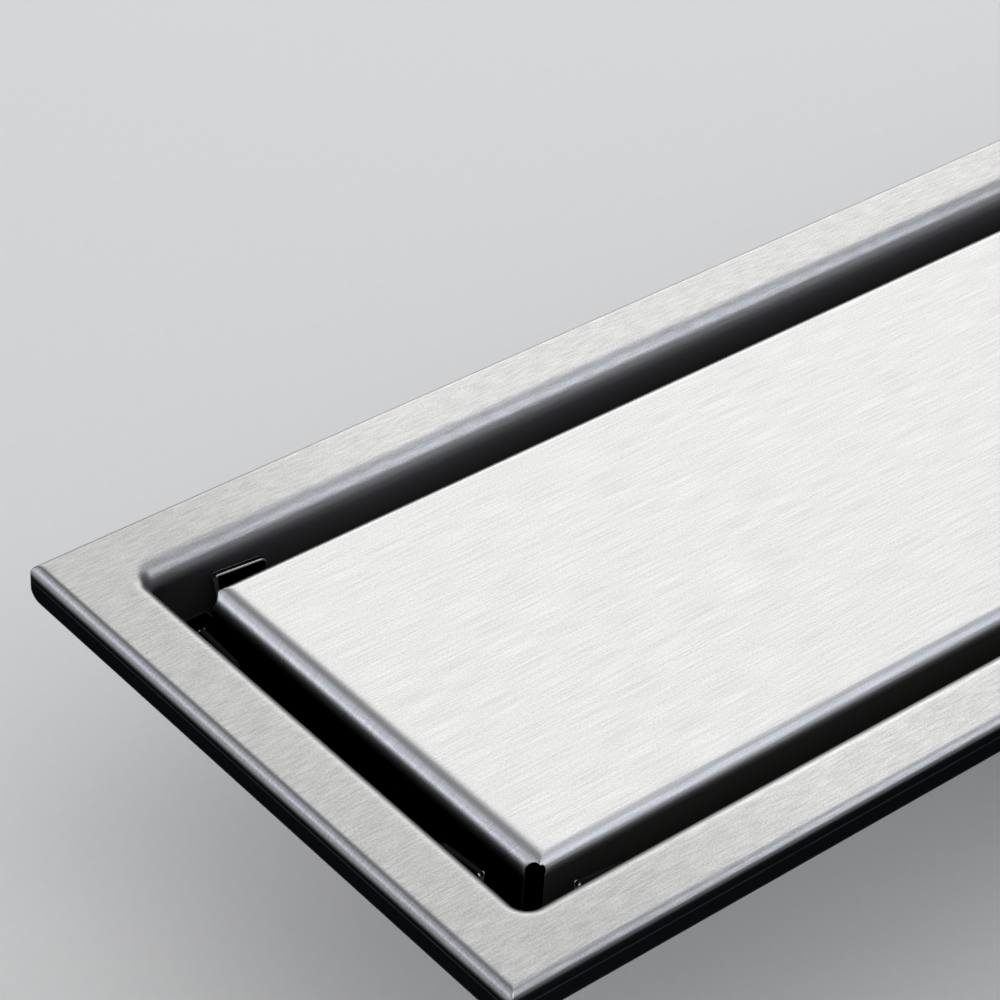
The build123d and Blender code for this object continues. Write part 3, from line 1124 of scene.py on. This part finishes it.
@dataclass
class CoverPlate:
    """The lift-out cover, folded down on four sides and open at its corners."""

    sheet: float = 0.8
    end_bend: float = 1.8
    side_bend: float = 1.0
    bend_steps: int = 18
    mitre: float = 0.08
    slot_width: float = 2.0
    slot_skew: float = 0.36
    slot_shift: float = 0.39
    slot_spread: float = 0.21
    slot_drop: float = 0.5
    burr: float = 0.10
    slot_burr: float = 0.06
    slot_crease: float = 60.0
    # The slot edges are painted bright: partly wear, partly painted glint.
    edge_wear_and_glint: float = 0.7
    flat_margin: float = 0.3
    # How much painted shade the folds get, by their angle in degrees.
    end_shades: tuple[Plan, ...] = ((70.0, 0.0), (84.0, 0.6), (90.0, 1.0))
    side_shades: tuple[Plan, ...] = ((56.0, 0.0), (68.0, 0.5), (84.0, 1.0))
    plan: LoopPlan = LoopPlan(3, (0.4, 0.9, 1.3, 2.0), 9)
    finish: SteelFinish = SteelFinish(
        Slot.COVER,
        bright=(0.756, 0.753, 0.745),
        roughness=0.30,
        line_depth=0.21,
        lines_across=4700.0,
        cloud_depth=0.015,
        pit_share=0.01,
        # Painted shade on the side folds down in the slots.
        inside=(0.17, 0.162, 0.15),
    )
    top: Vector = field(init=False)
    bottom: float = field(init=False)

    def __post_init__(self) -> None:
        """Takes the cover's size from the frame."""
        low, self.top = extent("cover_plate")
        self.bottom = low.z

    def fold(self, drop: float, radius: float, shades: Sequence[Plan]) -> tuple[float, float, float]:
        """Follows a fold down from the flat of the plate.

        Args:
            drop: How far down.
            radius: The radius of the bend.
            shades: How much the bend is shaded at each angle.

        Returns:
            How far the face is inside the fold's own, the same on the flat sheet, and how much it is shaded.
        """
        angle = math.acos(1.0 - min(drop / radius, 1.0))
        straight = max(drop - radius, 0.0)
        inwards = radius * (1.0 - math.sin(angle))
        return inwards, radius * (1.0 - angle) - straight, ramp(shades, math.degrees(angle))

    def lay(
        self, mesh: PieceMesh, drop: float, inset: float = 0.0, further: float = 0.0, **paint: float
    ) -> list[int]:
        """Adds one loop of corners round the plate.

        Args:
            mesh: The mesh.
            drop: How far the loop is below the flat of its face.
            inset: Where the face lies in the sheet, from its outer face.
            further: How much further inwards the loop is.
            paint: Painted values of the whole loop.

        Returns:
            The corners' numbers.
        """
        end, end_flat, end_shade = self.fold(drop, self.end_bend + self.sheet - inset, self.end_shades)
        side, side_flat, side_shade = self.fold(drop, self.side_bend + self.sheet - inset, self.side_shades)
        inside = inset + further
        half_x, half_y = self.top.x - inside - end, self.top.y - inside - side
        places = self.plan.loop(half_x, half_y, self.mitre)
        flat = self.plan.loop(self.top.x - inside - end_flat, self.top.y - inside - side_flat, self.mitre)
        points = [(x, y, self.top.z - inset - drop) for x, y in places]
        # Painted shade: the end folds go near-black, the side folds take the inside colour.
        at_end = [half_x - abs(x) < half_y - abs(y) for x, y in places]
        shade = [0.0 if end else side_shade for end in at_end]
        skirt = [end_shade if end else 0.0 for end in at_end]
        return mesh.row(points, flat, **{"shade": shade, "skirt": skirt, **paint})

    def build(self) -> Piece:
        """Builds the cover, cuts its corner slots and hands it over.

        Returns:
            The finished piece.
        """
        mesh = PieceMesh()
        deep = self.top.z - self.bottom
        quarter = [1.0 - math.cos(math.pi / 2 * i / self.bend_steps) for i in range(self.bend_steps + 1)]
        outer = [(self.end_bend + self.sheet) * share for share in quarter]
        inner = [self.end_bend * share for share in quarter[::2]]
        loops = [self.lay(mesh, 0.0, further=self.flat_margin)]
        loops += [self.lay(mesh, drop) for drop in sorted([*outer, self.side_bend + self.sheet])]
        loops.append(self.lay(mesh, deep - self.burr))
        loops.append(self.lay(mesh, deep, further=self.burr))
        loops.append(self.lay(mesh, deep, further=self.sheet - self.burr))
        bare = {"mill": 1.0, "shade": 0.0, "skirt": 0.0}
        inner_drops = [deep - self.sheet - self.burr, *sorted([*inner, self.side_bend], reverse=True)]
        loops += [self.lay(mesh, drop, self.sheet, **bare) for drop in inner_drops]
        mesh.bridge(loops)
        mesh.fill(loops[0][::-1])
        mesh.fill(loops[-1])
        made = mesh.to_object("cover_sheet")
        run_tree(
            made,
            corner_slot_tree(),
            {
                "Length": 2 * self.top.x * MM,
                "Width": 2 * (self.top.y + self.slot_spread) * MM,
                "Shift": self.slot_shift * MM,
                "Slot Width": self.slot_width * MM,
                "Slot Skew": self.slot_skew * MM,
                "Slot Top": (self.top.z - self.slot_drop) * MM,
                "Slot Bottom": (self.bottom - self.sheet) * MM,
                "Reach": 2 * (self.end_bend + self.sheet) * MM,
                "Material": self.finish.material(),
            },
        )
        round_edges(made, self.slot_burr, self.slot_crease, lambda _: self.edge_wear_and_glint)
        hand_over(made, Slot.COVER, "cover_plate")
        return made


def rounded_corner(before: Vector, corner: Vector, after: Vector, radius: float, steps: int) -> list[Vector]:
    """Rounds one corner of an outline.

    Args:
        before: The outline's last place before the corner.
        corner: The corner.
        after: The outline's next place.
        radius: The radius of the rounding.
        steps: How many flats it is made of.

    Returns:
        The places along the rounding, in order.
    """
    back, ahead = (before - corner).normalized(), (after - corner).normalized()
    half = back.angle(ahead) / 2
    centre = corner + (back + ahead).normalized() * radius / math.sin(half)
    first, last = ((corner + way * radius / math.tan(half) - centre).normalized() for way in (back, ahead))
    return [centre + first.slerp(last, i / steps) * radius for i in range(steps + 1)]


@dataclass
class CoverRest:
    """A corner bracket under the cover: a shelf in the corner with an ear turned up along each wall."""

    end: str
    side: str
    sheet: float = 0.8
    bend_radius: float = 0.6
    bend_steps: int = 6
    corner_cut: float = 1.4
    relief: float = 0.8
    ear_gap: float = 1.0
    ear_offset: float = 7.8
    ear_length: float = 7.0
    ear_taper: float = 0.8
    ear_drop: float = 2.7
    ear_slope: float = 0.65
    ear_near_radius: float = 0.3
    ear_near_steps: int = 4
    ear_far_radius: float = 0.9
    ear_far_steps: int = 6
    shelf_reach: float = 8.4
    burr: float = 0.16
    # Bright edges on the ears: partly wear, partly painted glint, all along the back ears and only at the
    # near tips of the others.
    edge_wear_and_glint: float = 0.9
    glint_tip: float = 1.3
    # Painted highlight: the ears' near end faces take the bright edge colour.
    ear_end_highlight: float = 1.0
    # Near-black: the brackets are painted dark, a painted shade for their place down in the slots.
    finish: SteelFinish = SteelFinish(Slot.REST, bright=(0.008, 0.008, 0.009), roughness=0.30)

    @property
    def node(self) -> str:
        """The name of the bracket's node."""
        return f"cover_rest_{self.side}_{self.end}"

    def ear_outline(self, root: float, top: float) -> list[Vector]:
        """Lays out the top of an ear, from its near end to its far one.

        Args:
            root: The height at which the ear leaves its bend.
            top: The height of its near corner.

        Returns:
            Places along the wall and up it.
        """
        near, far = self.ear_offset, self.ear_offset + self.ear_length
        foot = Vector((near + self.ear_taper, root)), Vector((far - self.ear_taper, root))
        peak = Vector((near, top)), Vector((far, top - self.ear_slope))
        first = rounded_corner(foot[0], *peak, self.ear_near_radius, self.ear_near_steps)
        return first + rounded_corner(*peak, foot[1], self.ear_far_radius, self.ear_far_steps)

    def build(self, material: bpy.types.Material) -> Piece:
        """Builds the bracket and hands it over.

        Args:
            material: The finish that the brackets share.

        Returns:
            The finished piece.
        """
        low, high = extent(self.node)
        shelf = low.z + self.sheet
        root = shelf + self.bend_radius
        top = extent("channel_body")[1].z - self.ear_drop
        near, far = self.ear_offset + self.ear_taper, self.ear_offset + self.ear_length - self.ear_taper
        centre = self.ear_gap + self.sheet + self.bend_radius
        corner = Vector((low.x if self.end == "left" else high.x, low.y if self.side == "front" else high.y))
        inwards = Vector((1 if self.end == "left" else -1, 1 if self.side == "front" else -1))
        mesh = PieceMesh()

        def place(along: float, away: float, height: float, swap: bool) -> Point:
            """Turns a place along a wall and away from it into the drain's frame."""
            plan = Vector((away, along)) if swap else Vector((along, away))
            return (corner.x + inwards.x * plan.x, corner.y + inwards.y * plan.y, height)

        feet = []
        for swap in (False, True):
            sheets = []
            for radius in (self.bend_radius, self.bend_radius + self.sheet):
                rows = []
                for step in range(self.bend_steps + 1):
                    angle = math.pi / 2 * step / self.bend_steps
                    away, height = centre - radius * math.sin(angle), root - radius * math.cos(angle)
                    rows.append(mesh.row([place(along, away, height, swap) for along in (near, far)]))
                ear = self.ear_outline(root, top)
                outline = mesh.row([place(p.x, centre - radius, p.y, swap) for p in ear])
                mesh.bridge(rows, closed=False)
                mesh.fill([rows[-1][0], *outline, rows[-1][1]])
                sheets.append((rows, [rows[-1][0], *outline, rows[-1][1]]))
            (face_rows, face), (back_rows, back) = sheets
            for number in (0, 1):
                mesh.bridge([[row[number] for row in rows] for rows in (face_rows, back_rows)], closed=False)
            # Painted highlight on the ear's near end face.
            mesh.bridge([face[:2], back[:2]], closed=False, edge=self.ear_end_highlight)
            mesh.bridge([face[1:], back[1:]], closed=False)
            feet.append((face_rows[0], back_rows[0]))
        notch = near - self.relief
        turn = [(centre, notch), (0.0, notch), (0.0, self.corner_cut)]
        turn += [(across, along) for along, across in reversed(turn)]
        tips = [(far, self.shelf_reach), (self.shelf_reach, far)]
        levels = []
        for level, height in enumerate((shelf, low.z)):
            first, second = feet[0][level], feet[1][level]
            corner_row = mesh.row([place(*p, height, False) for p in turn])
            tip_row = mesh.row([place(*p, height, False) for p in tips])
            levels.append(([second[0], *corner_row, first[0]], [first[1], *tip_row, second[1]]))
            mesh.fill([second[0], *corner_row, *first, *tip_row, second[1]])
        for strip in range(2):
            mesh.bridge([level[strip] for level in levels], closed=False)
        made = mesh.to_object(f"rest_{self.side}_{self.end}")
        made.data.materials.append(material)

        def wear_and_glint(spot: Vector) -> float:
            """Gives the painted brightness of an edge, partly wear and partly painted glint: all along the
            ears of the back wall, else only at a near tip.

            Args:
                spot: A place on the edge, in millimetres.

            Returns:
                The painted value.
            """
            along = max(abs(spot.x - corner.x), abs(spot.y - corner.y))
            on_back = self.side == "back" and abs(spot.y - corner.y) < centre
            near_tip = self.ear_offset - self.burr < along < self.ear_offset + self.glint_tip
            return self.edge_wear_and_glint if on_back or near_tip else 0.0

        round_edges(made, self.burr, math.degrees(CREASE), wear_and_glint)
        hand_over(made, Slot.REST, self.node)
        return made


def turned(name: str, profile: Sequence[Plan], steps: int) -> Piece:
    """Turns a closed outline round the outlet's axis.

    Args:
        name: The piece's name.
        profile: Radius and height of each corner, in order round the section.
        steps: How many flats a turn has.

    Returns:
        The new object.
    """
    mesh = PieceMesh()
    angles = [2 * math.pi * i / steps for i in range(steps)]
    rings = []
    for radius, height in profile:
        if radius > 0:
            rings.append(mesh.row([(radius * math.cos(a), radius * math.sin(a), height) for a in angles]))
    mesh.bridge(rings)
    if all(radius > 0 for radius, _ in profile):
        mesh.bridge([rings[-1], rings[0]])
    else:
        mesh.fill(rings[0][::-1])
        mesh.fill(rings[-1])
    return mesh.to_object(name)


@dataclass
class OutletTube:
    """The plain tube under the channel, and the bead that welds it to the floor."""

    wall: float = 1.4
    shoulder: float = 0.5
    shoulder_height: float = 0.8
    edge: float = 0.35
    bead: float = 0.9
    ripples: int = 150
    sides: int = 160
    floor_fall: float = 4.2
    floor_run: float = 142.0
    finish: SteelFinish = SteelFinish(
        Slot.OUTLET,
        bright=(0.58, 0.575, 0.565),
        roughness=0.34,
        grain=Grain.TURNED,
        lines_across=2600.0,
        lines_along=60.0,
    )

    def build(self) -> Piece:
        """Builds the tube and its weld and hands them over.

        Returns:
            The tube.
        """
        low, high = extent("outlet_tube")
        outer, bore = high.x, high.x - self.wall
        neck = outer - self.shoulder
        step = high.z - self.shoulder_height
        profile = [
            (bore, low.z + self.edge),
            (bore + self.edge, low.z),
            (outer - self.edge, low.z),
            (outer, low.z + self.edge),
            (outer, step),
            (neck, step),
            (neck, high.z),
            (bore, high.z),
        ]
        material = self.finish.material()
        made = turned("outlet_pipe", profile, self.sides)
        made.data.materials.append(material)
        hand_over(made, Slot.OUTLET, "outlet_tube")
        bead = show("outlet_weld", bpy.data.meshes.new("outlet_weld"))
        run_tree(
            bead,
            weld_tree(),
            {
                "Radius": outer * MM,
                "Height": step * MM,
                "Slope": self.floor_fall / self.floor_run,
                "Bead": self.bead * MM,
                "Ripples": self.ripples,
                "Material": material,
            },
        )
        hand_over(bead, Slot.OUTLET)
        return made


@dataclass
class HairStrainer:
    """The tapered basket in the mouth of the outlet, and the knob that lifts it."""

    sheet: float = 0.6
    taper: float = 4.5
    rim_width: float = 1.4
    stem: float = 2.0
    hole_radius: float = 1.6
    ring_radius: float = 10.8
    holes: int = 10
    basket_sides: int = 120
    knob_sides: int = 64
    collar_radius: float = 3.3
    collar: float = 1.0
    head: float = 4.0
    head_round: float = 1.0
    rivet: float = 0.8
    rivet_radius: float = 3.0
    rivet_round: Plan = (0.4, 0.3)
    basket_finish: SteelFinish = SteelFinish(
        Slot.STRAINER, bright=(0.60, 0.595, 0.585), roughness=0.28, grain=Grain.TURNED
    )
    knob_finish: SteelFinish = SteelFinish(
        Slot.KNOB,
        bright=(0.62, 0.615, 0.605),
        roughness=0.22,
        grain=Grain.TURNED,
        lines_across=6000.0,
    )

    def basket(self) -> Piece:
        """Builds the perforated basket and hands it over.

        Returns:
            The basket.
        """
        low, high = extent("hair_strainer")
        mouth = high.x - self.rim_width
        foot = mouth - self.taper
        floor = low.z + self.sheet
        lip = high.z - self.sheet
        profile = [
            (self.stem, low.z),
            (foot, low.z),
            (mouth, lip),
            (high.x, lip),
            (high.x, high.z),
            (mouth - self.sheet, high.z),
            (foot - self.sheet, floor),
            (self.stem, floor),
        ]
        made = turned("strainer_basket", profile, self.basket_sides)
        run_tree(
            made,
            perforation_tree(),
            {
                "Ring Radius": self.ring_radius * MM,
                "Hole Radius": self.hole_radius * MM,
                "Height": (low.z + self.sheet / 2) * MM,
                "Depth": 4 * self.sheet * MM,
                "Holes": self.holes,
                "Material": self.basket_finish.material(),
            },
        )
        hand_over(made, Slot.STRAINER, "hair_strainer")
        return made

    def knob(self) -> Piece:
        """Builds the turned knob and hands it over.

        Returns:
            The knob.
        """
        low, high = extent("strainer_knob")
        under = low.z + self.rivet
        floor = under + self.sheet
        neck = high.z - self.head
        wide = high.x
        profile = [
            (self.rivet_radius - self.rivet_round[0], low.z),
            (self.rivet_radius, under - self.rivet_round[1]),
            (self.rivet_radius, under),
            (self.stem, under),
            (self.stem, floor),
            (self.collar_radius, floor),
            (self.collar_radius, floor + self.collar),
            (self.stem, floor + self.collar),
            (self.stem, neck),
            (wide, neck),
            (wide, high.z - self.head_round),
            (wide - self.head_round, high.z),
            (0.0, high.z),
        ]
        made = turned("strainer_lift_knob", profile, self.knob_sides)
        made.data.materials.append(self.knob_finish.material())
        hand_over(made, Slot.KNOB, "strainer_knob")
        return made

    def build(self) -> None:
        """Builds the basket and its knob."""
        self.basket()
        self.knob()


@dataclass(frozen=True)
class SoftBox:
    """A soft studio light, by the direction in which it stands and how bright its face is."""

    name: str
    azimuth: float
    elevation: float
    distance: float
    width: float
    height: float
    brightness: float
    tint: Colour = (1.0, 1.0, 1.0)

    def build(self, aim: Vector) -> None:
        """Sets up the light.

        Args:
            aim: The point that it faces, in metres.
        """
        a, e = math.radians(self.azimuth), math.radians(self.elevation)
        away = Vector((math.sin(a) * math.cos(e), math.cos(a) * math.cos(e), math.sin(e)))
        lamp = bpy.data.lights.new(self.name, "AREA")
        lamp.shape = "RECTANGLE"
        lamp.size, lamp.size_y = self.width, self.height
        lamp.energy = self.brightness * math.pi * self.width * self.height
        lamp.color = self.tint
        made = bpy.data.objects.new(self.name, lamp)
        made.location = aim + away * self.distance
        made.rotation_euler = (-away).to_track_quat("-Z", "Y").to_euler()
        made.visible_camera = False
        bpy.context.scene.collection.objects.link(made)


WARM, COOL = (1.0, 0.995, 0.985), (0.82, 0.86, 1.0)


@dataclass
class Studio:
    """The pale floor, the soft lights and the camera."""

    azimuth: float = 41.494
    elevation: float = 37.432
    roll: float = 3.172
    lens: float = 132.2
    distance: float = 400.3
    # Where the camera looks, from the rim's front left corner.
    aim_from_corner: Point = (47.286, 59.068, 0.0)
    floor_size: float = 8.0
    floor_tone: Colour = (0.82, 0.82, 0.81)
    floor_dim: float = 0.96
    floor_grit: float = 900.0
    floor_detail: float = 2.0
    floor_roughness: float = 0.7
    sky_tint: Colour = (0.96, 0.97, 1.0)
    sky_reach: float = 0.9
    horizon: float = 0.10
    zenith: float = 0.25
    boxes: tuple[SoftBox, ...] = (
        SoftBox("key", 40.0, 25.0, 1.0, 1.1, 1.0, 1.10, WARM),
        SoftBox("low_key", 44.0, 16.0, 1.0, 0.7, 0.26, 0.95, WARM),
        SoftBox("top_fill", 36.0, 66.0, 1.0, 0.50, 0.60, 0.55, (0.95, 0.96, 1.0)),
        SoftBox("front_fill", 139.0, 38.0, 1.0, 0.60, 0.64, 1.0, COOL),
        SoftBox("back_fill", -52.0, 12.0, 1.0, 0.70, 0.42, 1.45, COOL),
        SoftBox("back_glow", -44.0, 34.0, 1.0, 0.50, 0.44, 0.65, COOL),
        SoftBox("side_fill", 90.0, 57.0, 1.0, 0.60, 0.50, 0.48, (0.85, 0.88, 1.0)),
        SoftBox("floor_wash", 215.0, 62.0, 1.6, 1.4, 1.4, 1.6),
    )

    def aim(self) -> Vector:
        """Gives the point that the camera looks at, in metres."""
        low, high = extent("channel_body")
        return (Vector((low.x, low.y, high.z)) + Vector(self.aim_from_corner)) * MM

    def camera(self) -> None:
        """Sets up the camera at the photograph's viewing angle."""
        a, e, r = (math.radians(angle) for angle in (self.azimuth, self.elevation, self.roll))
        ahead = Vector((math.sin(a) * math.cos(e), math.cos(a) * math.cos(e), -math.sin(e)))
        level = Vector((math.cos(a), -math.sin(a), 0.0))
        upright = level.cross(ahead)
        right = level * math.cos(r) + upright * math.sin(r)
        up = upright * math.cos(r) - level * math.sin(r)
        lens = bpy.data.cameras.new("camera")
        lens.lens = self.lens
        made = bpy.data.objects.new("camera", lens)
        turn = Matrix((right, up, -ahead)).transposed()
        made.matrix_world = Matrix.Translation(self.aim() - ahead * self.distance * MM) @ turn.to_4x4()
        bpy.context.scene.collection.objects.link(made)
        bpy.context.scene.camera = made

    def floor(self) -> None:
        """Lays the plain floor under the drain."""
        half = self.floor_size / 2
        mesh = bpy.data.meshes.new("floor")
        corners = [(-half, -half, 0), (half, -half, 0), (half, half, 0), (-half, half, 0)]
        mesh.from_pydata(corners, [], [(0, 1, 2, 3)])
        made = show("floor", mesh)
        material = bpy.data.materials.new("floor")
        material.use_nodes = True
        desk = NodeDesk(material.node_tree)
        inputs = material.node_tree.nodes["Principled BSDF"].inputs
        place = desk.add("ShaderNodeTexCoord").outputs["Object"]
        speckle = desk.noise(desk.scaled(place, self.floor_grit), self.floor_detail)
        shade = tuple(channel * self.floor_dim for channel in self.floor_tone)
        desk.feed(inputs["Base Color"], desk.blend(speckle, shade, self.floor_tone))
        desk.feed(inputs["Roughness"], self.floor_roughness)
        made.data.materials.append(material)

    def world(self) -> None:
        """Sets up the dim even light from all round, a little stronger from above."""
        made = bpy.data.worlds.new("studio")
        made.use_nodes = True
        desk = NodeDesk(made.node_tree)
        place = desk.add("ShaderNodeTexCoord").outputs["Generated"]
        strength = desk.span(desk.split(place)[2], 0.0, self.sky_reach, self.horizon, self.zenith)
        back = made.node_tree.nodes["Background"].inputs
        desk.feed(back["Color"], (*self.sky_tint, 1.0))
        desk.feed(back["Strength"], strength)
        bpy.context.scene.world = made

    def build(self) -> None:
        """Sets up the whole studio."""
        self.camera()
        self.floor()
        self.world()
        for box in self.boxes:
            box.build(self.aim())
        bpy.context.scene.view_settings.view_transform = "Standard"


def main() -> None:
    """Builds the drain's pieces in order, then the studio."""
    logging.basicConfig(level=logging.INFO, format="%(name)s: %(message)s")
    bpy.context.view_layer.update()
    brushed_grain_group()
    pits_group()
    ChannelBody().build()
    CoverPlate().build()
    rest_steel = CoverRest.finish.material()
    for side in ("front", "back"):
        for end in ("left", "right"):
            CoverRest(end, side).build(rest_steel)
    OutletTube().build()
    HairStrainer().build()
    Studio().build()


if __name__ == "__main__":
    main()
